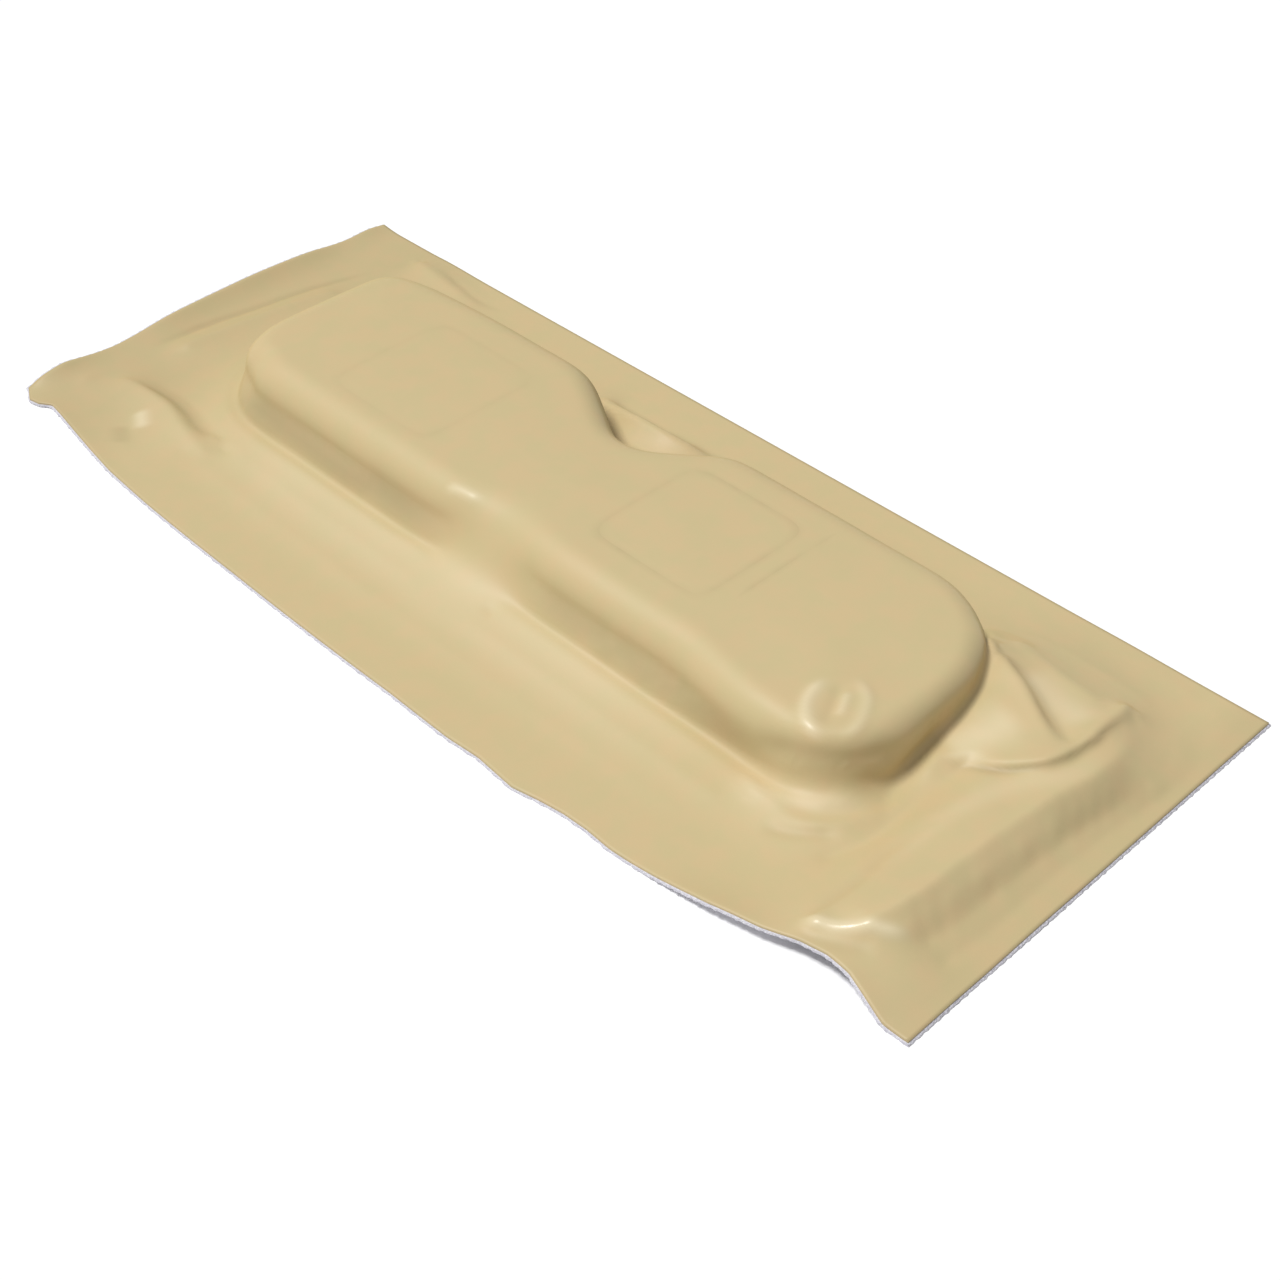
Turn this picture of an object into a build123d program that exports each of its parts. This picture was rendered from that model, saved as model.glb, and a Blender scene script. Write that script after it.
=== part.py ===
"""Face cradle cushion, in millimetres.

A two-lobed foam pad stands on a thin board, under one moulded sheet of knit-backed vinyl whose flat
skirt is cut square round it. +Z is up and +X runs along the pad, from the left lobe to the right one.
The origin is under the middle of the sheet, on the surface that it lies on.
"""

from build123d import *
import os

# The cut sheet
sheet_length = 620
sheet_width = 248
edge_bow = 15  # how far the near (-Y) edge bulges past the line between its corners
vinyl = 0.8
backing = 0.8
near_edge_y = -(sheet_width + edge_bow) / 2
far_edge_y = (sheet_width + edge_bow) / 2
near_corner_y = near_edge_y + edge_bow

# The pad, layer by layer from the bottom
total_height = 38
board = 4
base_layer = 20
core_height = total_height - vinyl - backing
edge_roll = 14  # radius of the foam's top edge
root_roll = 6  # radius of the sheet where the skirt turns up into the pad's wall
margin = 0.01  # how near an edge's middle must be to count as lying somewhere

# The pad's outline, anticlockwise from its left near corner: x, y, corner radius
pad_left, pad_right, pad_near, pad_far = -239, 222, -52, 82
pad_corners = [
    (pad_left + 8, pad_near, 50),
    (-45, pad_near, 60),  # the shallow waist in the near side
    (-8, pad_near + 8, 60),
    (30, pad_near, 60),
    (pad_right, pad_near, 34),
    (pad_right - 3, pad_far, 59),
    (34, pad_far, 28),  # the deep waist in the far side
    (-10, pad_far - 37, 26),
    (-70, pad_far, 45),
    (pad_left, pad_far, 24),
]

# A soft square in the top of each lobe
insert_side = 76
insert_height = 6
insert_corner = 10
insert_centres = {"left": (-115, 17), "right": (76, 19)}

# A strip of hook-and-loop loop under each lobe, flush with the board's underside
strip_length = 100
strip_width = 25
strip_height = 1.5
strip_centres = {"left": (-130, 15), "right": (124, 15)}


def pad_block(grow):
    """The pad's solid, grown outward and upward by the thickness of what covers it."""
    points = [(x, y) for x, y, _ in pad_corners]
    radii = [radius for _, _, radius in pad_corners]
    face = make_face(FilletPolyline(*points, radius=radii, close=True))
    if grow:
        face = offset(face, grow)
    block = extrude(face, core_height + grow)
    return fillet(block.edges().group_by(Axis.Z)[-1], edge_roll + grow)


def skirt(thickness):
    """The whole cut sheet, laid flat."""
    left, right = -sheet_length / 2, sheet_length / 2
    near = ThreePointArc((left, near_corner_y), (0, near_edge_y), (right, near_corner_y))
    rest = Polyline((right, near_corner_y), (right, far_edge_y), (left, far_edge_y), (left, near_corner_y))
    return extrude(make_face(near + rest), thickness)


def covered(thickness):
    """All that lies under the outside of a layer: the skirt and the pad, with a rolled root between."""
    whole = skirt(thickness) + pad_block(thickness)
    reach = thickness + margin
    root = whole.edges().filter_by_position(Axis.Z, thickness - margin, thickness + margin)
    root = root.filter_by_position(Axis.X, pad_left - reach, pad_right + reach)
    root = root.filter_by_position(Axis.Y, pad_near - reach, pad_far + reach)
    return fillet(root, root_roll + vinyl + backing - thickness)


def level(height):
    return Plane.XY.offset(height)


def insert(side):
    square = RectangleRounded(insert_side, insert_side, insert_corner)
    return Pos(*insert_centres[side], core_height - insert_height) * extrude(square, insert_height)


def loop_strip(side):
    return Pos(*strip_centres[side], 0) * extrude(Rectangle(strip_length, strip_width), strip_height)


core = pad_block(0)
under_vinyl = covered(backing)
outside = covered(backing + vinyl)
board_slice = split(core, bisect_by=level(board), keep=Keep.BOTTOM)
foam = split(core, bisect_by=level(board), keep=Keep.TOP)
top_foam = split(foam, bisect_by=level(board + base_layer), keep=Keep.TOP)
inserts = {f"insert_{side}": insert(side) for side in insert_centres}
strips = {f"loop_strip_{side}": loop_strip(side) for side in strip_centres}

nodes = {
    "vinyl_skin": outside - under_vinyl,
    "knit_backing": under_vinyl - core,
    "comfort_foam": top_foam - list(inserts.values()),
    "base_foam": split(foam, bisect_by=level(board + base_layer), keep=Keep.BOTTOM),
    "base_board": board_slice - list(strips.values()),
    **inserts,
    **strips,
}

os.makedirs("parts", exist_ok=True)
for name, shape in nodes.items():
    export_step(shape, f"parts/{name}.step")
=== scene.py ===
"""Face cradle cushion: a two-lobed foam pad under one moulded sheet of knit-backed vinyl, laid on a table.

Shapes are worked out in millimetres in the part's frame (+X along the pad, +Y to the far edge, +Z up) and
scaled to metres when a mesh is made.
"""

import math
import bpy
import numpy as np
from mathutils import Matrix, Vector, kdtree
from mathutils.bvhtree import BVHTree


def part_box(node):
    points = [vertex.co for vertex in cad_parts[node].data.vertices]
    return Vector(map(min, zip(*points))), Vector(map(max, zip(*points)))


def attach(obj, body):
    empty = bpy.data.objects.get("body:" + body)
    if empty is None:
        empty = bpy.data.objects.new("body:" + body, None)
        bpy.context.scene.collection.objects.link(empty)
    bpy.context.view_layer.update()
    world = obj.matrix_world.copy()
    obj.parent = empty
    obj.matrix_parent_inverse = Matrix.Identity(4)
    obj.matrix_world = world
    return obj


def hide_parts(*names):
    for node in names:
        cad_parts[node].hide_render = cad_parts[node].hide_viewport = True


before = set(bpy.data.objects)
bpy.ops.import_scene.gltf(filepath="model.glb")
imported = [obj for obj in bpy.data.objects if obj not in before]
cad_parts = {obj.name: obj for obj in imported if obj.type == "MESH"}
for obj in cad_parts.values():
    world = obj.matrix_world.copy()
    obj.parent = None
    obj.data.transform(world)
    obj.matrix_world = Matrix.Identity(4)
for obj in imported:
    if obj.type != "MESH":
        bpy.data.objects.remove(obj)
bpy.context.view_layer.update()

MM = 0.001
rng = np.random.default_rng(7)


def box_mm(node):
    """The low and high corners of a node's box, in millimetres."""
    low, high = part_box(node)
    return np.array(low) / MM, np.array(high) / MM


SHEET_LOW, SHEET_HIGH = box_mm("vinyl_skin")
BACKING_LOW = box_mm("knit_backing")[0]
FOAM_HIGH = box_mm("comfort_foam")[1]
TOP = SHEET_HIGH[2]
LAMINATE = TOP - FOAM_HIGH[2]  # the vinyl and the knit together
VINYL = LAMINATE - (SHEET_LOW[2] - BACKING_LOW[2])
FLOOR = LAMINATE  # height of the sheet's top face where it lies on the table
LEFT, RIGHT = SHEET_LOW[0], SHEET_HIGH[0]
NEAR, FAR = SHEET_LOW[1], SHEET_HIGH[1]
EDGE_BOW = 15.0  # how far the near edge bulges out past its corners
ROLL = 15.6  # radius of the pad's top edge, outside the vinyl
LEAST_WALL = 0.5  # the least straight wall between the pad's top edge and its foot
CROWN = 1.3  # how much lower the pad's top is at its edge than in its middle
WAIST_LINE = -50.5  # the y at which the sheet spans the shallow waist in the near side
RIGHT_PRESS = 3.0  # how far the sheet presses the soft foam in at the right end
SPREAD = 38.0  # how far either way from the pad's edge the sheet's extra length is shared out
ROW = 1.8  # spacing of the sheet's mesh from its near edge to its far one
WAVINESS = 0.06  # how strong the sheet's slow waves are
LEFT_INSET = 1.5  # how far in the curled left edge is drawn
LAYER_GAP = 0.02  # between the vinyl and the knit
FRINGE = 1.3  # how far the knit stands out past the vinyl at the cut edge
FOAM_GAP = 0.5  # between the knit and the foam under it
PRESSED = 9.0  # foam further than this from the knit isn't pressed by it
FLOOR_REACH = 30.0  # metres from the middle of the floor to its sides

# Soft spots round the pad where the sheet's shape changes: x, y, and how far the spot reaches in x and in y
NEAR_WAIST = (-8, -48, 17, 26)
FAR_WAIST = (-12, 55, 30, 25)
NEAR_RIGHT_FOOT = (204, -44, 24, 22)
NEAR_RIGHT_TOP = (203, -44, 20, 20)
RIGHT_FOOT = (222, -16, 20, 20)
RIGHT_END = (225, 20, 40, 50)
LEFT_END = (-240, 70, 60, 90)
FAR_LEFT_TOP = (-240, 75, 50, 50)

# What shows through the sheet: centre x and y, half its length and how wide its line is
RIGHT_SQUARE = (68, 19.5, 36, 4.0)
LEFT_SQUARE = (-116, 14, 38, 4.4)
LINE_BY_SQUARE = (115, 30, 26, 3.4)


# ---------------------------------------------------------------- the pad's outline

def bottom_loop(node):
    """The outline of a node's underside, as an anticlockwise run of points in millimetres."""
    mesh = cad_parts[node].data
    co = np.array([v.co for v in mesh.vertices]) / MM
    lowest = co[:, 2].min()
    uses, places = {}, {}
    for face in mesh.polygons:
        spots = [tuple(np.round(co[i, :2], 3)) for i in face.vertices]
        if max(co[i, 2] for i in face.vertices) > lowest + 0.01:
            continue
        for a, b in zip(spots, spots[1:] + spots[:1]):
            uses[frozenset((a, b))] = uses.get(frozenset((a, b)), 0) + 1
    for pair in (tuple(p) for p, n in uses.items() if n == 1 and len(p) == 2):
        for a, b in (pair, pair[::-1]):
            places.setdefault(a, []).append(b)
    start = min(places)
    loop, last = [start], None
    while True:
        here = loop[-1]
        step = next(p for p in places[here] if p != last)
        if step == start:
            break
        last = here
        loop.append(step)
    loop = np.array(loop)
    x, y = loop.T
    area = (x * np.roll(y, -1) - y * np.roll(x, -1)).sum()
    return loop if area > 0 else loop[::-1]


def even_loop(loop, step=1.0, smooth=4):
    """The same closed outline with evenly spaced, slightly smoothed points, and its outward normals."""
    closed = np.vstack([loop, loop[:1]])
    along = np.concatenate([[0], np.cumsum(np.linalg.norm(np.diff(closed, axis=0), axis=1))])
    at = np.linspace(0, along[-1], int(along[-1] / step), endpoint=False)
    points = np.stack([np.interp(at, along, closed[:, k]) for k in range(2)], axis=1)
    for _ in range(smooth):
        points = 0.25 * np.roll(points, 1, 0) + 0.5 * points + 0.25 * np.roll(points, -1, 0)
    tangent = np.roll(points, -3, 0) - np.roll(points, 3, 0)
    normal = np.stack([tangent[:, 1], -tangent[:, 0]], axis=1)
    return points, normal / np.linalg.norm(normal, axis=1)[:, None]


def taut(loop):
    """The outline that the sheet follows.

    It spans most of the shallow waist in the near side, and presses the soft foam in a bit at the right end.
    """
    x, y = loop.T
    waist = (y < -25) & (x > -75) & (x < 60)
    y = np.where(waist, np.minimum(y, WAIST_LINE), y)
    near = np.clip(-(y + 10) / 35, 0, 1)
    right = np.clip((x - 175) / 40, 0, 1)
    return np.stack([x - RIGHT_PRESS * right, y + RIGHT_PRESS * near * right], axis=1)


PAD_LINE, PAD_NORMAL = even_loop(taut(bottom_loop("base_foam")), smooth=60)
PAD_TREE = kdtree.KDTree(len(PAD_LINE))
for i, p in enumerate(PAD_LINE):
    PAD_TREE.insert((p[0], p[1], 0), i)
PAD_TREE.balance()


def from_pad(x, y):
    """Signed distance from the pad's outer wall, the wall's nearest point and its outward normal."""
    nearest = np.array([PAD_TREE.find((a, b, 0))[1] for a, b in zip(x.ravel(), y.ravel())])
    foot, out = PAD_LINE[nearest], PAD_NORMAL[nearest]
    away = np.stack([x.ravel(), y.ravel()], axis=1) - foot
    far = np.linalg.norm(away, axis=1)
    side = np.sign((away * out).sum(1))
    # close to the outline the normal is the steadier direction
    near = np.clip(far / 3.0, 0, 1)[:, None]
    way = near * side[:, None] * away / np.maximum(far, 1e-6)[:, None] + (1 - near) * out
    way /= np.linalg.norm(way, axis=1)[:, None]
    distance = side * far - LAMINATE
    shape = x.shape
    return distance.reshape(shape), (foot + out * LAMINATE).reshape(*shape, 2), way.reshape(*shape, 2)


# ---------------------------------------------------------------- the lie of the skirt

def smooth(v):
    """A soft step: 0 up to 0, 1 from 1 on."""
    v = np.clip(v, 0, 1)
    return v * v * (3 - 2 * v)


def near_to(x, y, cx, cy, rx, ry):
    """A soft spot: 1 at its centre, falling away over rx and ry."""
    return np.exp(-(((x - cx) / rx) ** 2) - (((y - cy) / ry) ** 2))


# How far the cut edge wanders in from the plain bow, at places along it
NEAR_WANDER = [(-310, 0), (-301, -4), (-293, -2), (-286, 3), (-276, 2.5), (-254, 0.5), (-236, -1),
               (-214, -2.5), (-176, -2.5), (-148, -2), (-100, -1), (20, 0), (61, -1), (80, 0), (104, -2.5),
               (118, 0), (131, 1.5), (145, 1.5), (160, 0), (185, 0.5), (212, 1.5), (236, 4.5), (253, 8.5),
               (265, 9.5), (277, 8), (290, 3.5), (299, 0.5), (310, 0)]


def near_edge(x):
    """The y of the sheet's bowed near edge."""
    wander = np.interp(x, *zip(*NEAR_WANDER))
    return NEAR + EDGE_BOW * (x / RIGHT) ** 2 + wander


# Lines that the sheet is held at: x, y and the height of its top face. An edge's line has no coordinate for
# the side that it is on.
HELD = {
    "near_edge_hump": [(170, 1.6), (185, 3), (199, 5), (220, 7.5), (240, 8), (255, 9), (266, 9.5), (275, 9),
                       (284, 7), (292, 4.5), (299, 2.2), (310, 1.6)],
    "near_edge_left": [(-310, 2.5), (-300, 2), (-290, 2.5), (-270, 2.5), (-225, 2.2), (-180, 1.6)],
    "left_edge": [(-116.5, 2.5), (-109, 6), (-102, 7.5), (-93, 8.5), (-84, 7), (-75, 5.5), (-60, 4.5),
                  (-48, 5.5), (-25, 8), (0, 9), (55, 9), (80, 7), (90, 5.5), (100, 4.5), (122, 4.5),
                  (131.5, 3)],
    "left_crease": [(-293, -90, 4), (-295, -56, 2.6), (-294, -34, 2.4), (-291, -8, 2.4), (-287, 20, 2.4),
                    (-283, 49, 2.4), (-278, 72, 2), (-269, 99, 1.8), (-260, 119, 1.6)],
    "left_plain": [(-281, -34, 5.5), (-276, 0, 6), (-272, 30, 6), (-267, 60, 5)],
    "left_wrinkle": [(-276, -76, 5.5), (-256, -75, 7.5), (-236, -75, 8), (-216, -80, 7), (-190, -84, 4)],
    "behind_wrinkle": [(-272, -66, 3), (-250, -64, 2.6), (-230, -64, 2.6), (-206, -69, 2.4),
                       (-182, -74, 2.2)],
    "hump_inner": [(251, -103, 13), (250, -80, 12), (249, -57, 12), (249, -36, 12), (252, -12, 13),
                   (252, 9, 14.5)],
    "ramp": [(228, -70, 3), (236, -45, 5), (236, -17, 7.5), (239, 6, 10.5)],
    "hump_middle": [(262, -90, 16), (262, -57, 15.5), (262, -30, 15.5), (266, -8, 16)],
    "hump_top": [(269, -90, 17), (273, -76, 18.5), (275, -46, 18.2), (277, -14, 17.7), (280, 17, 17.5),
                 (284, 40, 17), (283, 56, 15), (277, 72, 13), (268, 88, 10)],
    "hump_fall": [(279, -84, 13), (282, -60, 13), (284, -30, 12.5), (285, -10, 12), (287, 15, 11.5),
                  (290, 38, 11), (291, 58, 9)],
    "hump_low": [(287, -76, 6), (289, -60, 6), (290, -30, 5.6), (291, -10, 5.2), (293, 15, 4.8),
                 (296, 38, 4.6), (299, 62, 4.2), (293, 88, 3.6)],
    "hump_foot": [(297, -78, 2.2), (299, -60, 1.9), (300, -10, 1.7), (301, 19, 1.6), (304, 50, 1.6),
                  (305, 80, 1.6), (296, 108, 1.6)],
    "fold_crest": [(238, 10, 13), (253, 16, 18), (266, 26, 21), (270, 43, 21), (270, 63, 20),
                   (268, 86, 16)],
    "fold_far_side": [(240, 7.5, 12), (255, 12.5, 14.5), (269, 23, 17), (273.2, 43, 17), (273.2, 63, 16.5),
                      (271, 86, 13.5)],
    "crease_crest": [(200, 67, 27), (209, 64, 26.5), (228, 57, 24), (249, 45, 22), (262, 38, 20)],
    "crease_valley": [(204, 72, 21), (231, 63, 18.5), (252, 52, 17), (264, 45, 17.5)],
    "far_crest": [(208, 84, 16), (225, 79, 17), (245, 77, 16.5), (263, 76, 15)],
    "far_slope": [(205, 98, 8.5), (225, 100, 8.5), (245, 101, 8), (266, 100, 6.5)],
    "far_slope_foot": [(190, 118, 2.2), (215, 123, 2.4), (245, 125, 2.4), (275, 122, 2.2)],
    "facet_near": [(229, 6, 13.7), (240, 14, 15.8), (252, 21, 17.8)],
    "facet_middle": [(229, 24, 17.2), (240, 27, 18.3), (252, 31, 19.7)],
    "facet_far": [(226, 42, 20.5), (240, 40, 20.8)],
    "waist_ridge": [(-76, 94, 6), (-62, 91, 10), (-45, 90, 12.5), (-28, 90.5, 12.5), (-14, 93, 10),
                    (0, 96, 5)],
    "waist_behind": [(-70, 100, 1.6), (-45, 99, 1.8), (-20, 101, 1.8), (5, 103, 1.6)],
    "waist_pocket": [(-44, 76, 3.5), (-30, 74, 3.5), (-14, 76, 4)],
    "far_left_ridge": [(-262, 118, 4), (-245, 115, 5.5), (-221, 112, 4.5), (-199, 110, 2.5)],
    "near_slope": [(-200, -72, 4.5), (-150, -74, 5.6), (-60, -75, 5.8), (0, -76, 5.8), (90, -76, 5.2),
                   (170, -76, 4.5)],
    "near_slope_low": [(-200, -90, 2.4), (-150, -92, 3.0), (-60, -94, 3.2), (0, -95, 3.0), (90, -94, 2.6),
                       (160, -92, 2.4)],
}

# How high the sheet leaves the pad's wall, at places round the pad
WALL_FOOT = [(-200, -55, 7), (-150, -55, 8), (-60, -55, 8), (-5, -54, 9), (30, -55, 8), (120, -55, 7.5),
             (170, -56, 7), (196, -56, 8), (213, -46, 8.5), (222, -32, 7), (224, -20, 6.5), (225, 4, 13),
             (225, 20, 16), (223, 40, 20), (213, 60, 23.5), (200, 76, 18), (184, 86, 8), (165, 90, 3.5),
             (60, 90, 3), (34, 84, 3.5), (0, 62, 5), (-30, 64, 6), (-60, 84, 4), (-120, 90, 3),
             (-220, 88, 5), (-247, 60, 6.5), (-248, 10, 6.5), (-244, -30, 7), (-228, -50, 6.5)]


def along(line, step):
    """Evenly spaced points along a smooth curve through a line's points."""
    line = np.array(line, float)
    run = np.concatenate([[0], np.cumsum(np.linalg.norm(np.diff(line, axis=0), axis=1))])
    slope = np.gradient(line, run, axis=0)
    at = np.linspace(0, run[-1], max(2, int(run[-1] / step)))
    i = np.clip(np.searchsorted(run, at, side="right") - 1, 0, len(run) - 2)
    gap = (run[i + 1] - run[i])[:, None]
    t = (at - run[i])[:, None] / gap
    bend = t * t * (3 - 2 * t)
    return ((1 - bend) * line[i] + bend * line[i + 1]
            + t * (1 - t) * gap * ((1 - t) * slope[i] - t * slope[i + 1]))


def held_line(name):
    """A held line's points as x, y, height: edge lines give one plan coordinate only."""
    line = HELD[name]
    if name.startswith("near_edge"):
        return [(x, near_edge(x), z) for x, z in line]
    if name == "left_edge":
        return [(LEFT, y, z) for y, z in line]
    return line


def root_reach(x, y):
    """How far out the sheet's turn from the skirt up into the pad's wall begins."""
    return (5.5 + 3.0 * near_to(x, y, *RIGHT_FOOT) + 7.5 * near_to(x, y, *FAR_WAIST)
            + 11.0 * near_to(x, y, *NEAR_RIGHT_FOOT))


def root_rise(x, y):
    """How far up the pad's wall that turn ends."""
    return 5.0 + 5.0 * near_to(x, y, *FAR_WAIST) + 10.5 * near_to(x, y, *NEAR_RIGHT_FOOT)


class Lie:
    """The height of the sheet's top face where it isn't on the pad: a taut skin over held lines."""

    pitch = 1.3

    def __init__(self):
        self.xs = np.arange(LEFT - 4, RIGHT + 4.1, self.pitch)
        self.ys = np.arange(NEAR - 6, FAR + 4.1, self.pitch)
        x, y = np.meshgrid(self.xs, self.ys, indexing="ij")
        total, weight = np.zeros(x.shape), np.zeros(x.shape)
        for name in HELD:
            self.hold(held_line(name), total, weight)
        ring = PAD_LINE + PAD_NORMAL * (LAMINATE + root_reach(*PAD_LINE.T) + 1.0)[:, None]
        stops = np.array(WALL_FOOT, float)
        gap = np.hypot(ring[:, None, 0] - stops[:, 0], ring[:, None, 1] - stops[:, 1]) + 2.0
        pull = gap ** -3.0
        heights = (pull * stops[:, 2]).sum(1) / pull.sum(1)
        for _ in range(40):
            heights = 0.25 * np.roll(heights, 1) + 0.5 * heights + 0.25 * np.roll(heights, -1)
        self.hold(np.column_stack([ring, heights]), total, weight)
        held = weight > 0
        fixed = np.where(held, total / np.maximum(weight, 1e-9), FLOOR)
        height = fixed
        for radius in (16, 8, 4, 2, 1):
            height = self.settle(height, held, fixed, radius)
        for _ in range(2):
            height = self.average(height, 1)
        self.height = height

    def hold(self, line, total, weight):
        """Adds a line's heights, and how many there are, to the grid places that it passes."""
        for x, y, z in along(line, self.pitch / 2):
            i = int(round((x - self.xs[0]) / self.pitch))
            j = int(round((y - self.ys[0]) / self.pitch))
            if 0 <= i < len(self.xs) and 0 <= j < len(self.ys):
                total[i, j] += z
                weight[i, j] += 1

    @staticmethod
    def average(h, reach):
        """The mean of the four heights that stand this many places away."""
        p = np.pad(h, reach, mode="edge")
        n, m = h.shape
        return 0.25 * (p[:n, reach:reach + m] + p[2 * reach:, reach:reach + m]
                       + p[reach:reach + n, :m] + p[reach:reach + n, 2 * reach:])

    def settle(self, height, held, fixed, reach):
        """Pulls the skin tight between what holds it up, while its weight presses it to the table."""
        sag = 0.0025 * (reach * self.pitch) ** 2
        for _ in range(140):
            height = np.maximum(self.average(height, reach) - sag, FLOOR)
            height = np.where(held, fixed, height)
        return height

    def __call__(self, x, y):
        """The height at x, y, between the grid's places."""
        u = np.clip((x - self.xs[0]) / self.pitch, 0, len(self.xs) - 1.001)
        v = np.clip((y - self.ys[0]) / self.pitch, 0, len(self.ys) - 1.001)
        i, j = u.astype(int), v.astype(int)
        a, b = u - i, v - j
        h = self.height
        return ((1 - a) * (1 - b) * h[i, j] + a * (1 - b) * h[i + 1, j]
                + (1 - a) * b * h[i, j + 1] + a * b * h[i + 1, j + 1])


LIE = Lie()


# ---------------------------------------------------------------- the sheet's surface

def near_side(x, y):
    """1 along the pad's near side, and 0 elsewhere."""
    return smooth(-(y + 30) / 20) * smooth((165 - x) / 60) * smooth((x + 235) / 30)


def roll_radius(x, y):
    """How round the pad's top edge is."""
    return (ROLL + 2.0 * near_side(x, y) + 4.5 * near_to(x, y, *LEFT_END)
            - 6.5 * near_to(x, y, *RIGHT_END) - 3.0 * near_to(x, y, *NEAR_RIGHT_TOP))


def lean(x, y):
    """How much narrower the pad is at its top edge than at its foot."""
    return 1.0 + 6.0 * near_side(x, y) + 3.5 * smooth((-x - 190) / 50) - smooth((x - 180) / 40)


def section(q, reach, rise, foot, roll, tilt):
    """The section through the pad's edge, at a distance q along it: offset from the wall, height and share.

    q is 0 where the wall meets the rolled top edge, and grows outward and down. The share rises from 0 on
    the wall to 1 on the skirt.
    """
    low = np.minimum(foot, TOP - roll - rise - LEAST_WALL)
    wall, bend = TOP - roll - rise - low, (reach + rise) / 2
    turn = np.clip(-q / roll, 0, math.pi / 2)
    flat = np.maximum(-q - roll * math.pi / 2, 0)
    down = np.clip(q, 0, wall)
    curl = np.clip((q - wall) / bend, 0, math.pi / 2)
    rest = np.maximum(q - wall - bend * math.pi / 2, 0)
    up_offset, up_height = -tilt - roll * (1 - np.cos(turn)) - flat, TOP - roll + roll * np.sin(turn)
    down_offset = -tilt * (1 - down / wall) + reach * (1 - np.cos(curl)) + rest
    down_height = TOP - roll - down - rise * np.sin(curl)
    offset = np.where(q < 0, up_offset, down_offset)
    height = np.where(q < 0, up_height, down_height)
    height = TOP - (TOP - height) * (TOP - foot) / (TOP - low)
    outside = smooth((q - wall * 0.4) / (wall * 0.6 + bend * math.pi / 2))
    return offset, height, outside


def sheet_surface(x, y):
    """The sheet's top face at flat grid places x, y: its points in millimetres."""
    distance, foot, way = from_pad(x, y)
    fx, fy = foot[..., 0], foot[..., 1]
    reach, rise, roll, tilt = root_reach(fx, fy), root_rise(fx, fy), roll_radius(fx, fy), lean(fx, fy)
    foot_height = LIE(fx + way[..., 0] * (reach + 1), fy + way[..., 1] * (reach + 1))
    wall = np.maximum(TOP - roll - rise - foot_height, LEAST_WALL)
    bend = (reach + rise) / 2
    spare = (math.pi / 2 - 1) * roll + wall + bend * math.pi / 2 - reach - tilt
    phase = np.clip((distance + 4) / SPREAD, -1, 1)
    swell = 0.5 * (1 + phase + np.sin(math.pi * phase) / math.pi)
    q = distance - roll * (math.pi / 2 - 1) + tilt + swell * spare
    offset, height, outside = section(q, reach, rise, foot_height, roll, tilt)
    px = x + way[..., 0] * (offset - distance)
    py = y + way[..., 1] * (offset - distance)
    skirt = LIE(px, py)
    pz = height + outside * (skirt - foot_height)
    far_out = smooth((offset - reach) / 4)
    pz = pz * (1 - far_out) + skirt * far_out
    crown = CROWN * (1 - smooth((-offset - tilt) / 55))
    crown = crown + 3.5 * near_to(px, py, *FAR_LEFT_TOP) * smooth((-offset + 30) / 40)
    pz = pz - crown * (1 - outside)
    return np.stack([px, py, pz], axis=-1)


def columns():
    """Where the sheet's mesh columns stand: closer together over the folds at its ends."""
    stops = [(LEFT, 1.5), (-240, 1.8), (-215, 2.3), (165, 2.3), (185, 1.2), (292, 1.2), (RIGHT, 1.8)]
    xs = [LEFT]
    while xs[-1] < RIGHT:
        xs.append(xs[-1] + float(np.interp(xs[-1], *zip(*stops))))
    xs = np.array(xs)
    return LEFT + (xs - LEFT) * (RIGHT - LEFT) / (xs[-1] - LEFT)


def sheet_grid():
    """Flat places for the sheet's mesh: straight far edge, bowed near edge."""
    xs = columns()
    v = np.linspace(0, 1, int((FAR - NEAR) / ROW) + 1)
    x = np.repeat(xs[:, None], len(v), axis=1) + 1.3 * smooth((xs[:, None] - RIGHT + 60) / 60)
    bowed = near_edge(x)
    y = bowed + (FAR - bowed) * v[None, :]
    return x, y


def normals(p):
    """The unit normals of a grid of points."""
    du = np.gradient(p, axis=0)
    dv = np.gradient(p, axis=1)
    n = np.cross(du, dv)
    return n / np.maximum(np.linalg.norm(n, axis=-1, keepdims=True), 1e-9)


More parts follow.
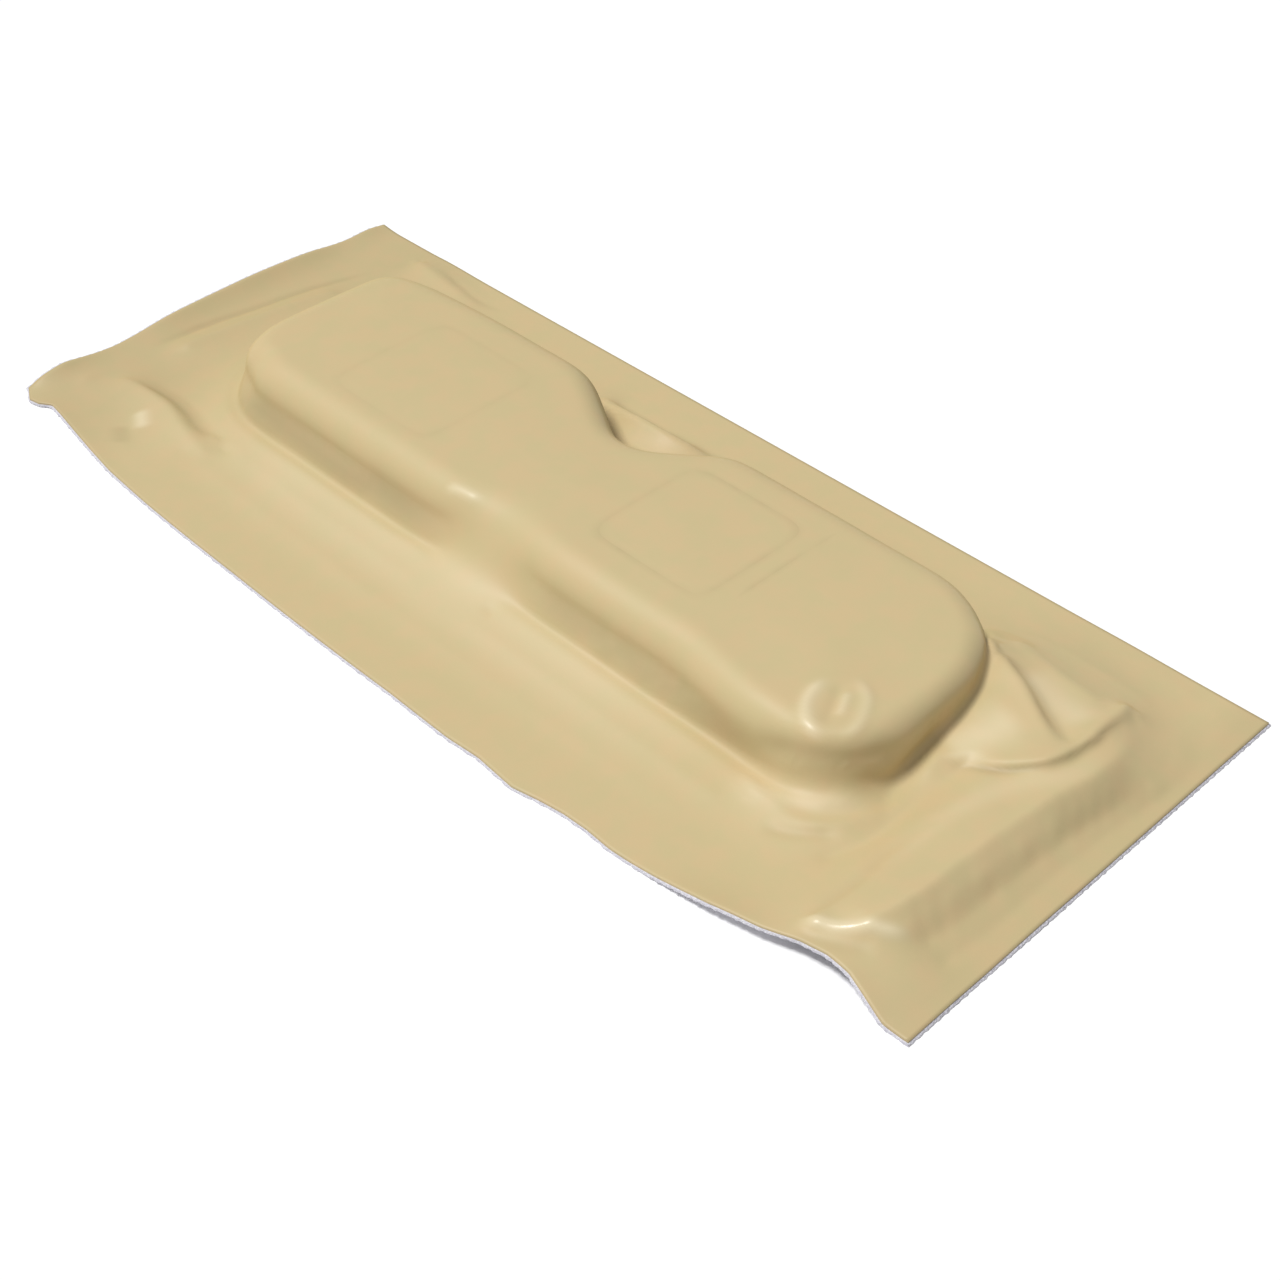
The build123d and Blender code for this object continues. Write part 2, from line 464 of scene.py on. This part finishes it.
# Small folds, dents and lines pressed into the surface: a line of points, how high it stands (or is cut in,
# if negative), how wide it is to its left and right as it runs, and how much painted shade darkens it (or,
# if negative, how much a painted highlight pales it, and how much glossier it is)
STROKES = [
    # the near right corner: a dent under the top edge with painted shade in it, a patch of wall paled by
    # painted light, a rolled fold round the foot with a painted highlight, and the tuck that ends it and a
    # dip in front of it, both with a little painted shade
    ([(168, -50, 24), (184, -50, 25), (197, -47, 27), (208, -38, 27), (216, -25, 26), (219, -8, 24)],
     -2.2, 7, 6.5, 0.12),
    ([(211, -32, 18), (217, -22, 18), (219, -8, 20), (218, 8, 22)], 0, 8, 8, -0.13),
    ([(165, -62, 7), (186, -62, 8), (203, -56, 8), (216, -44, 8), (224, -33, 6)], 1.7, 5, 5, -0.22),
    ([(216, 20, 17), (219, 0, 12), (222, -16, 7), (227, -30, 4), (232, -42, 2)], -1.1, 3.5, 4.5, 0.02),
    ([(196, -76, 3), (212, -68, 4), (226, -56, 4)], -0.9, 3, 3, 0.05),
    # creases that run from the pad's right end to the hump, with painted shade along them
    ([(203, 71, 24), (211, 66, 25), (229, 60, 22), (250, 49, 20), (263, 42, 19)], -0.6, 1.6, 3.0, 0.20),
    ([(226, 1, 9), (236, 6, 11), (246, 9.5, 13), (256, 15, 15), (264, 23, 18), (270, 34, 18), (272, 48, 18),
      (272, 64, 17), (270, 84, 14)], -0.8, 1.3, 2.6, 0.26),
    # the puckers on top of the near right corner: glossier, with painted highlights on them and a little
    # painted shade between
    ([(203, -43, 32), (192, -42, 35), (183, -35, 37), (179, -25, 38), (179, -14, 38)], 1.2, 2.6, 3.6, -0.42),
    ([(204, -38, 33), (207, -30, 34), (203, -18, 36), (196, -10, 38), (186, -6, 38)], 0.9, 3.4, 2.2, -0.22),
    ([(197, -39, 35), (193, -29, 37), (188, -19, 38), (185, -12, 38)], -0.9, 3.0, 3.0, 0.02),
    ([(197, -30, 37), (194, -22, 38), (190, -15, 38)], 0.7, 1.8, 2.4, -0.30),
    # the fold by the near edge: glossier, with a painted highlight on it and painted shade in the dip beside
    # it
    ([(242, -106, 11), (256, -102, 15), (270, -94, 17), (285, -80, 10)], 1.5, 2.8, 3.4, -0.48),
    ([(246, -111, 9), (262, -107, 11), (279, -95, 10)], -0.6, 4, 4, 0.09),
    # the valley line left of the hump's plateau, with painted shade in it
    ([(238, -112, 12), (247, -96, 13), (249, -76, 13), (248, -56, 12), (249, -36, 12), (254, -12, 13)],
     -1.0, 4.0, 3.2, 0.05),
    # the left end: painted shade along its fold line and the steep side of the wrinkle, a painted highlight
    # on the glossy spot by it, and painted shade in a dip nearer the edge
    ([(-295, -50, 3), (-292, -8, 3), (-287, 20, 3), (-283, 49, 3), (-278, 72, 3), (-269, 99, 3)],
     -0.7, 2.2, 2.2, 0.12),
    ([(-274, -72, 5), (-256, -70, 6), (-237, -69, 6), (-209, -74, 4), (-188, -77, 3)], -0.6, 2.8, 2.8, 0.14),
    ([(-246, -87, 6), (-239, -90, 5), (-232, -95, 4)], 0.6, 4, 4, -0.45),
    ([(-245, -100, 2), (-229, -110, 2)], -0.8, 5, 5, 0.10),
    # a painted highlight where the left lobe's near edge turns into the waist
    ([(-48, -38, 34), (-36, -37, 35), (-24, -35, 36)], 0.9, 3, 3, -0.35),
    # the far side: shaded lines across the waist's mouth and along the far left ridge
    ([(-62, 94, 7), (-37, 94, 9), (-12, 98, 7)], -0.4, 1.6, 1.6, 0.08),
    ([(-245, 122, 3), (-221, 117, 3), (-199, 116, 3), (-180, 117, 3)], -0.5, 2, 2, 0.08),
    # painted shade low down on the walls that face the camera, where they are deepest in shade
    ([(-232, -40, 17), (-210, -48, 17), (-130, -51, 16), (-40, -51, 16), (-20, -50, 16)], 0, 9, 8, 0.29),
    ([(4, -50, 16), (25, -51, 16), (110, -51, 16), (160, -51, 17), (188, -49, 18)], 0, 9, 8, 0.22),
    ([(202, 60, 32), (211, 45, 31), (214, 25, 31), (215, 5, 30)], 0, 6, 6, 0.05),
    # painted shade too on the pad's left and far rims, and on the hump's outer slope
    ([(-243, -20, 28), (-243, 40, 28), (-236, 68, 28), (-215, 84, 28), (-150, 86, 28), (-90, 84, 28),
      (-55, 70, 28), (-30, 55, 28), (-8, 52, 28), (15, 68, 28), (45, 85, 28), (120, 86, 28), (170, 85, 28),
      (198, 76, 28), (212, 60, 28)], 0, 7, 7, 0.24),
    ([(287, 0, 12), (289, 25, 11), (291, 45, 10), (289, 62, 9)], 0, 8, 8, 0.12),
    # small marks in the near skirt with a little painted shade, and painted light paling the stretch of it
    # by the pad's foot
    ([(10, -64, 6), (20, -67, 5)], -0.8, 2.5, 2.5, 0.03),
    ([(-225, -62, 5), (-150, -62, 7), (-60, -62, 7), (0, -61, 8), (90, -61, 7), (170, -62, 6)],
     0, 9, 24, -0.2),
    # painted highlights on the lip of the fold and the facets behind it
    ([(230, 4, 12), (234, 18, 16), (238, 30, 18), (243, 41, 20)], 0, 10, 9, -0.34),
    ([(222, 68, 19), (240, 62, 18), (258, 60, 18), (266, 56, 18)], 0, 9, 9, -0.26),
    ([(250, -70, 14), (252, -30, 14), (262, 8, 16), (277, 30, 18), (278, 56, 17)], 0, 6, 6, -0.12),
]


def press_strokes(p):
    """Moves the surface's points along its normals by each stroke, and says how much painted shade or
    highlight each lays on.
    """
    flat = p.reshape(-1, 3)
    n = normals(p).reshape(-1, 3)
    moved, shade = np.zeros(len(flat)), np.zeros(len(flat))
    for line, height, left, right, darken in STROKES:
        line = along(line, 2.0)
        reach = 3 * max(left, right)
        low, high = line.min(0) - reach - 6, line.max(0) + reach + 6
        inside = np.nonzero(((flat >= low) & (flat <= high)).all(1))[0]
        q, m = flat[inside], n[inside]
        # the line is laid on the surface, then evened out
        line = np.array([q[np.argmin(((q - s) ** 2).sum(1))] for s in line])
        for _ in range(4):
            evened = 0.25 * line[:-2] + 0.5 * line[1:-1] + 0.25 * line[2:]
            line = np.concatenate([line[:1], evened, line[-1:]])
        best, value = np.full(len(q), 1e9), np.zeros(len(q))
        count = len(line) - 1
        for k in range(count):
            a, d = line[k], line[k + 1] - line[k]
            t = np.clip((q - a) @ d / max(float(d @ d), 1e-9), 0, 1)
            off = q - a - t[:, None] * d
            gap = np.linalg.norm(off, axis=1)
            side = (np.cross(d, off) * m).sum(1)
            share = (k + t) / count
            ends = smooth(share / 0.25) * smooth((1 - share) / 0.25)
            here = np.exp(-((gap / np.where(side > 0, left, right)) ** 2)) * ends
            closer = gap < best
            value, best = np.where(closer, here, value), np.where(closer, gap, best)
        moved[inside] += height * value
        shade[inside] += darken * value
    return (flat + n * moved[:, None]).reshape(p.shape), shade


def unevenness(x, y):
    """Slow, slight waviness of the sheet."""
    waves = np.zeros(x.shape)
    for _ in range(14):
        length = rng.uniform(28, 90)
        angle = rng.uniform(0, math.pi)
        phase = rng.uniform(0, 2 * math.pi)
        run = x * math.cos(angle) + y * math.sin(angle)
        waves += length / 90 * np.cos(run * 2 * math.pi / length + phase)
    return waves


def slab(name, top, bottom):
    """A closed thin solid between two grids of points."""
    n, m = top.shape[:2]
    index = np.arange(n * m).reshape(n, m)
    quads = np.stack([index[:-1, :-1], index[1:, :-1], index[1:, 1:], index[:-1, 1:]], axis=-1)
    quads = quads.reshape(-1, 4)
    under = quads[:, ::-1] + n * m
    ring = np.concatenate([index[:, 0], index[-1, 1:], index[-2::-1, -1], index[0, -2:0:-1]])
    after = np.roll(ring, -1)
    rim = np.stack([ring, ring + n * m, after + n * m, after], axis=-1)
    faces = np.concatenate([quads, under, rim])
    mesh = bpy.data.meshes.new(name)
    points = np.concatenate([top.reshape(-1, 3), bottom.reshape(-1, 3)]) * MM
    mesh.from_pydata(points.tolist(), [], faces.tolist())
    mesh.polygons.foreach_set("use_smooth", [True] * (len(quads) * 2) + [False] * len(rim))
    mesh.update()
    thing = bpy.data.objects.new(name, mesh)
    bpy.context.scene.collection.objects.link(thing)
    return thing


def fringe(p, reach):
    """Lets the knit stand a little proud of the vinyl at the cut edge, unevenly."""
    p = p.copy()
    n, m = p.shape[:2]
    wear_x = reach * (0.75 + 0.25 * np.sin(np.arange(n) * 1.9) * np.sin(np.arange(n) * 0.37))
    wear_y = reach * (0.75 + 0.25 * np.sin(np.arange(m) * 2.3) * np.sin(np.arange(m) * 0.41))
    p[:, 0, 1] -= wear_x
    p[:, -1, 1] += 0.3 * wear_x
    p[0, :, 0] -= 1.6 * wear_y
    p[-1, :, 0] += wear_y
    return p


def bridge_waist(top):
    """Draws the taut sheet off the pad's shallow near waist, from its top edge to its foot."""
    hold = near_to(top[..., 0], top[..., 1], *NEAR_WAIST)[..., None]
    for _ in range(60):
        mean = top.copy()
        mean[1:-1, 1:-1] = 0.25 * (top[2:, 1:-1] + top[:-2, 1:-1] + top[1:-1, 2:] + top[1:-1, :-2])
        top = top + hold * (mean - top)
    return top


def make_sheet():
    """The sheet as two closed thin pieces: its vinyl and its knit lining."""
    x, y = sheet_grid()
    top = sheet_surface(x, y)
    top[..., 2] += WAVINESS * unevenness(x, y) * smooth((top[..., 2] - FLOOR) / 3)
    top = bridge_waist(top)
    top, shade = press_strokes(top)
    top[..., 2] = np.maximum(top[..., 2], FLOOR)
    top[..., 0] += LEFT_INSET * smooth((LEFT + 25 - x) / 25)
    n = normals(top)
    mid = top - n * VINYL
    low = top - n * LAMINATE
    low[..., 2] = np.maximum(low[..., 2], 0.0)
    skin = slab("vinyl_cover", top, mid)
    # the strokes' painted shade and painted highlights go to the vinyl's shader as this attribute
    layer = skin.data.attributes.new("painted_light_and_shade", "FLOAT", "POINT")
    layer.data.foreach_set("value", np.concatenate([shade, np.zeros(len(shade))]))
    backing = slab("knit_lining", fringe(mid - n * LAYER_GAP, FRINGE), fringe(low, FRINGE))
    return skin, backing


skin, backing = make_sheet()


# ---------------------------------------------------------------- the foam under the sheet

def cover_tree(thing):
    """A search tree of the underside of the sheet's lining."""
    mesh = thing.data
    half = len(mesh.vertices) // 2
    points = [v.co for v in mesh.vertices[half:]]
    faces = [[i - half for i in f.vertices] for f in mesh.polygons if min(f.vertices) >= half]
    return BVHTree.FromPolygons(points, faces)


def soft_piece(node, voxel, trim=0.0):
    """A foam piece: the node's block rounded off, then pressed in wherever the taut sheet squeezes it."""
    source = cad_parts[node]
    thing = bpy.data.objects.new(node + "_soft", source.data.copy())
    bpy.context.scene.collection.objects.link(thing)
    remesh = thing.modifiers.new("even", "REMESH")
    remesh.mode = "VOXEL"
    remesh.voxel_size = voxel * MM
    relax = thing.modifiers.new("relax", "SMOOTH")
    relax.factor = 0.5
    relax.iterations = 3
    bpy.context.view_layer.update()
    settled = bpy.data.meshes.new_from_object(thing.evaluated_get(bpy.context.evaluated_depsgraph_get()))
    thing.modifiers.clear()
    thing.data = settled
    low, high = (Vector(c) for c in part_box(node))
    middle = (low + high) / 2
    for v in thing.data.vertices:
        if trim:
            for k in range(3):
                size = (high[k] - low[k]) / 2
                v.co[k] = middle[k] + (v.co[k] - middle[k]) * (size - trim * MM) / size
        place, normal, _, _ = COVER.find_nearest(v.co)
        if place is not None and (v.co - place).dot(normal) < FOAM_GAP * MM:
            if (v.co - place).length < PRESSED * MM:
                v.co = place + normal * FOAM_GAP * MM
    thing.data.polygons.foreach_set("use_smooth", [True] * len(thing.data.polygons))
    thing.data.update()
    return thing


COVER = cover_tree(backing)
SOFT = {
    "comfort_foam": soft_piece("comfort_foam", 2.2),
    "base_foam": soft_piece("base_foam", 2.6, trim=0.15),
    "insert_left": soft_piece("insert_left", 1.6, trim=0.6),
    "insert_right": soft_piece("insert_right", 1.6, trim=0.6),
}


# ---------------------------------------------------------------- materials

def linear(r, g, b):
    """A colour as the renderer takes it, from its sRGB values."""
    return tuple(((c + 0.055) / 1.055) ** 2.4 if c > 0.04045 else c / 12.92 for c in (r, g, b)) + (1.0,)


class Paint:
    """A small procedural material: a shader with noise-driven colour, roughness and relief."""

    def __init__(self, name, roughness):
        self.material = bpy.data.materials.new(name)
        self.material.use_nodes = True
        self.nodes, self.links = self.material.node_tree.nodes, self.material.node_tree.links
        self.shader = self.nodes["Principled BSDF"]
        self.shader.inputs["Roughness"].default_value = roughness
        self.where = self.nodes.new("ShaderNodeTexCoord").outputs["Object"]

    def noise(self, scale, detail=2.0, stretch=(1, 1, 1)):
        """Noise with about this many blotches to the metre."""
        mapping = self.nodes.new("ShaderNodeMapping")
        mapping.inputs["Scale"].default_value = stretch
        node = self.nodes.new("ShaderNodeTexNoise")
        node.inputs["Scale"].default_value = scale
        node.inputs["Detail"].default_value = detail
        self.links.new(self.where, mapping.inputs["Vector"])
        self.links.new(mapping.outputs["Vector"], node.inputs["Vector"])
        return node.outputs["Fac"]

    def cells(self, scale):
        """Cells, with about this many to the metre."""
        node = self.nodes.new("ShaderNodeTexVoronoi")
        node.inputs["Scale"].default_value = scale
        self.links.new(self.where, node.inputs["Vector"])
        return node.outputs["Distance"]

    def ramp(self, source, stops):
        """Turns a value into a colour by way of these stops."""
        node = self.nodes.new("ShaderNodeValToRGB")
        band = node.color_ramp
        while len(band.elements) < len(stops):
            band.elements.new(0.5)
        for element, (place, colour) in zip(band.elements, stops):
            element.position = place
            element.color = colour
        self.links.new(source, node.inputs["Fac"])
        return node.outputs["Color"]

    def colour(self, source, stops):
        """Colours the surface by a value, with stops in sRGB."""
        shown = self.ramp(source, [(p, linear(*c)) for p, c in stops])
        self.links.new(shown, self.shader.inputs["Base Color"])

    def work(self, operation, *inputs):
        """Arithmetic on values and other nodes' outputs."""
        node = self.nodes.new("ShaderNodeMath")
        node.operation = operation
        for socket, value in zip(node.inputs, inputs):
            if isinstance(value, (int, float)):
                socket.default_value = value
            else:
                self.links.new(value, socket)
        return node.outputs["Value"]

    def blend(self, factor, under, over):
        """One plain colour laid over another colour by a factor."""
        node = self.nodes.new("ShaderNodeMix")
        node.data_type = "RGBA"
        sockets = {i.name: i for i in node.inputs if i.enabled}
        self.links.new(factor, sockets["Factor"])
        self.links.new(under, sockets["A"])
        sockets["B"].default_value = over
        return next(o for o in node.outputs if o.enabled)

    def relief(self, source, depth, strength=1.0):
        """Bumps this many millimetres deep."""
        node = self.nodes.new("ShaderNodeBump")
        node.inputs["Distance"].default_value = depth * MM
        node.inputs["Strength"].default_value = strength
        self.links.new(source, node.inputs["Height"])
        self.links.new(node.outputs["Normal"], self.shader.inputs["Normal"])


def insert_marks(paint, across, up):
    """Where the squares let into the foam show through the sheet: up to 1 on their outlines, 0 elsewhere."""
    work = paint.work

    def fade(gap, width):
        """1 on a line, falling to 0 at its width."""
        left = work("MAXIMUM", work("SUBTRACT", 1.0, work("DIVIDE", gap, width * MM)), 0.0)
        return work("POWER", left, 1.5)

    def past(place, centre, half):
        """How far past half a width a place is from a centre, below 0 inside it."""
        return work("SUBTRACT", work("ABSOLUTE", work("SUBTRACT", place, centre * MM)), half * MM)

    def square(cx, cy, half, width):
        """The outline of a square with rounded corners."""
        dx, dy = past(across, cx, half), past(up, cy, half)
        return fade(work("ABSOLUTE", work("SMOOTH_MAX", dx, dy, 18 * MM)), width)

    def bar(cx, cy, half, width):
        """A short line across the pad."""
        dx, dy = past(across, cx, 0), work("MAXIMUM", past(up, cy, half), 0.0)
        return fade(work("ADD", dx, work("MULTIPLY", dy, 0.3)), width)

    marks = work("ADD", square(*RIGHT_SQUARE), work("MULTIPLY", square(*LEFT_SQUARE), 0.45))
    marks = work("ADD", marks, work("MULTIPLY", bar(*LINE_BY_SQUARE), 0.9))
    patchy = work("MULTIPLY", work("MULTIPLY", paint.noise(38, 1), paint.noise(90, 1)), 3.0)
    return work("MULTIPLY", marks, patchy)


def vinyl_paint():
    """Cream vinyl: marked by the squares under it, and painted shade or painted highlight by its strokes."""
    paint = Paint("cream_vinyl", 0.36)
    nodes, links, work, inputs = paint.nodes, paint.links, paint.work, paint.shader.inputs
    split = nodes.new("ShaderNodeSeparateXYZ")
    links.new(paint.where, split.inputs["Vector"])
    across, up = split.outputs["X"], split.outputs["Y"]
    marks = insert_marks(paint, across, up)
    # painted shade (positive) darkens the colour and painted highlight (negative) pales it and makes it
    # glossier; the squares' outlines are drawn a little darker too
    painted_light_and_shade = nodes.new("ShaderNodeAttribute")
    painted_light_and_shade.attribute_name = "painted_light_and_shade"
    darker = work("ADD", work("MAXIMUM", painted_light_and_shade.outputs["Fac"], 0.0), work("MULTIPLY", marks, 0.08))
    paler = work("MAXIMUM", work("MULTIPLY", painted_light_and_shade.outputs["Fac"], -1.0), 0.0)
    # painted shade: the sheet's two ends are drawn darker, where the light falls off
    left_end = work("MULTIPLY", work("ADD", across, 215 * MM), -20.0)
    right_end = work("MULTIPLY", work("SUBTRACT", across, 287 * MM), 60.0)
    ends = work("MINIMUM", work("MAXIMUM", work("MAXIMUM", left_end, right_end), 0.0), 1.0)
    darker = work("ADD", darker, work("MULTIPLY", ends, 0.09))
    cream = paint.ramp(paint.noise(70, 4), [(0.36, linear(0.797, 0.730, 0.550)),
                                            (0.50, linear(0.806, 0.729, 0.552)),
                                            (0.64, linear(0.815, 0.727, 0.552))])
    # painted shade mixes the cream towards a dark brown, painted highlight towards a pale cream
    shaded = paint.blend(darker, cream, (0.10, 0.07, 0.02, 1))
    links.new(paint.blend(paler, shaded, linear(0.96, 0.91, 0.78)), inputs["Base Color"])
    dull = work("MULTIPLY_ADD", paint.noise(60, 2), 0.16, 0.42)
    glossy = work("MAXIMUM", work("SUBTRACT", paler, 0.2), 0.0)
    links.new(work("SUBTRACT", dull, work("MULTIPLY", glossy, 0.9)), inputs["Roughness"])
    # no gleam where the sheet turns edge on
    facing = nodes.new("ShaderNodeLayerWeight")
    facing.inputs["Blend"].default_value = 0.5
    gleam = nodes.new("ShaderNodeMapRange")
    for name, value in (("From Min", 0.42), ("From Max", 0.74), ("To Min", 0.36), ("To Max", 0.0)):
        gleam.inputs[name].default_value = value
    links.new(facing.outputs["Facing"], gleam.inputs["Value"])
    links.new(gleam.outputs["Result"], inputs["Specular IOR Level"])
    grain = work("MULTIPLY", paint.noise(1500, 2), 0.06)
    paint.relief(work("SUBTRACT", grain, work("MULTIPLY", marks, 0.8)), 0.5, 0.8)
    return paint.material


def knit_paint():
    paint = Paint("pale_knit", 0.95)
    paint.colour(paint.cells(1100), [(0.0, (0.95, 0.95, 0.96)), (0.6, (0.84, 0.83, 0.87))])
    paint.relief(paint.cells(1100), 0.25)
    return paint.material


def foam_paint(name, light, dark):
    paint = Paint(name, 0.95)
    paint.colour(paint.noise(900, 4), [(0.35, dark), (0.65, light)])
    paint.relief(paint.cells(900), 0.4)
    return paint.material


def plywood_paint():
    paint = Paint("plywood", 0.7)
    paint.colour(paint.noise(30, 5, (0.5, 8, 8)), [(0.3, (0.64, 0.50, 0.34)), (0.7, (0.78, 0.65, 0.47))])
    paint.relief(paint.noise(120, 4, (0.5, 10, 10)), 0.1, 0.6)
    return paint.material


def loop_paint():
    paint = Paint("loop_tape", 0.95)
    paint.colour(paint.cells(1400), [(0.0, (0.20, 0.20, 0.21)), (0.6, (0.08, 0.08, 0.09))])
    paint.relief(paint.cells(1400), 0.4)
    return paint.material


def floor_paint():
    paint = Paint("white_floor", 0.9)
    paint.shader.inputs["Base Color"].default_value = (0.985, 0.985, 0.985, 1)
    paint.shader.inputs["Specular IOR Level"].default_value = 0.0
    return paint.material


def put(thing, material):
    """Gives a piece this material and no other."""
    thing.data.materials.clear()
    thing.data.materials.append(material)


put(skin, vinyl_paint())
put(backing, knit_paint())
put(SOFT["comfort_foam"], foam_paint("soft_foam", (0.93, 0.88, 0.76), (0.85, 0.79, 0.65)))
put(SOFT["base_foam"], foam_paint("firm_foam", (0.80, 0.81, 0.82), (0.68, 0.69, 0.71)))
insert_foam = foam_paint("insert_foam", (0.92, 0.90, 0.86), (0.82, 0.80, 0.76))
put(SOFT["insert_left"], insert_foam)
put(SOFT["insert_right"], insert_foam)
put(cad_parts["base_board"], plywood_paint())
loop_tape = loop_paint()
put(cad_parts["loop_strip_left"], loop_tape)
put(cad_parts["loop_strip_right"], loop_tape)


# ---------------------------------------------------------------- floor, lights and camera

def add_floor():
    mesh = bpy.data.meshes.new("floor")
    s = FLOOR_REACH
    mesh.from_pydata([(-s, -s, 0), (s, -s, 0), (s, s, 0), (-s, s, 0)], [], [(0, 1, 2, 3)])
    floor = bpy.data.objects.new("floor", mesh)
    bpy.context.scene.collection.objects.link(floor)
    put(floor, floor_paint())


def soft_light(name, towards, strength, spread):
    """An even light from far away, softened by how wide it looks, in degrees."""
    light = bpy.data.lights.new(name, "SUN")
    light.energy = strength
    light.angle = math.radians(spread)
    thing = bpy.data.objects.new(name, light)
    thing.rotation_euler = Vector(towards).to_track_quat("Z", "Y").to_euler()
    bpy.context.scene.collection.objects.link(thing)


def add_camera():
    """The photo's camera, solved from the sheet's corners and the pad's outline."""
    cam = bpy.data.cameras.new("camera")
    cam.sensor_width = 36
    cam.lens = 56.69
    thing = bpy.data.objects.new("camera", cam)
    thing.location = Vector((582.2, -516.7, 618.2)) * MM
    ahead, up = Vector((-0.5415, 0.5233, -0.6580)), Vector((-0.4652, 0.4654, 0.7530))
    thing.rotation_euler = Matrix((ahead.cross(up), up, -ahead)).transposed().to_euler()
    bpy.context.scene.collection.objects.link(thing)
    bpy.context.scene.camera = thing


def light_scene():
    """A pale studio: an even surround and one soft key light from over the near left."""
    world = bpy.data.worlds.new("studio")
    world.use_nodes = True
    world.node_tree.nodes["Background"].inputs["Color"].default_value = (1, 1, 1, 1)
    world.node_tree.nodes["Background"].inputs["Strength"].default_value = 0.33
    bpy.context.scene.world = world
    soft_light("key", (-0.25, -0.31, 0.92), 2.5, 16)
    bpy.context.scene.view_settings.view_transform = "Standard"


add_floor()
add_camera()
light_scene()


# ---------------------------------------------------------------- what each piece is

PIECES = [
    (skin, "vinyl_skin", "vinyl"),
    (backing, "knit_backing", "knit"),
    (SOFT["comfort_foam"], "comfort_foam", "soft_foam"),
    (SOFT["base_foam"], "base_foam", "firm_foam"),
    (SOFT["insert_left"], "insert_left", "insert_foam"),
    (SOFT["insert_right"], "insert_right", "insert_foam"),
]
for piece, node, slot in PIECES:
    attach(piece, "root")
    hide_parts(node)
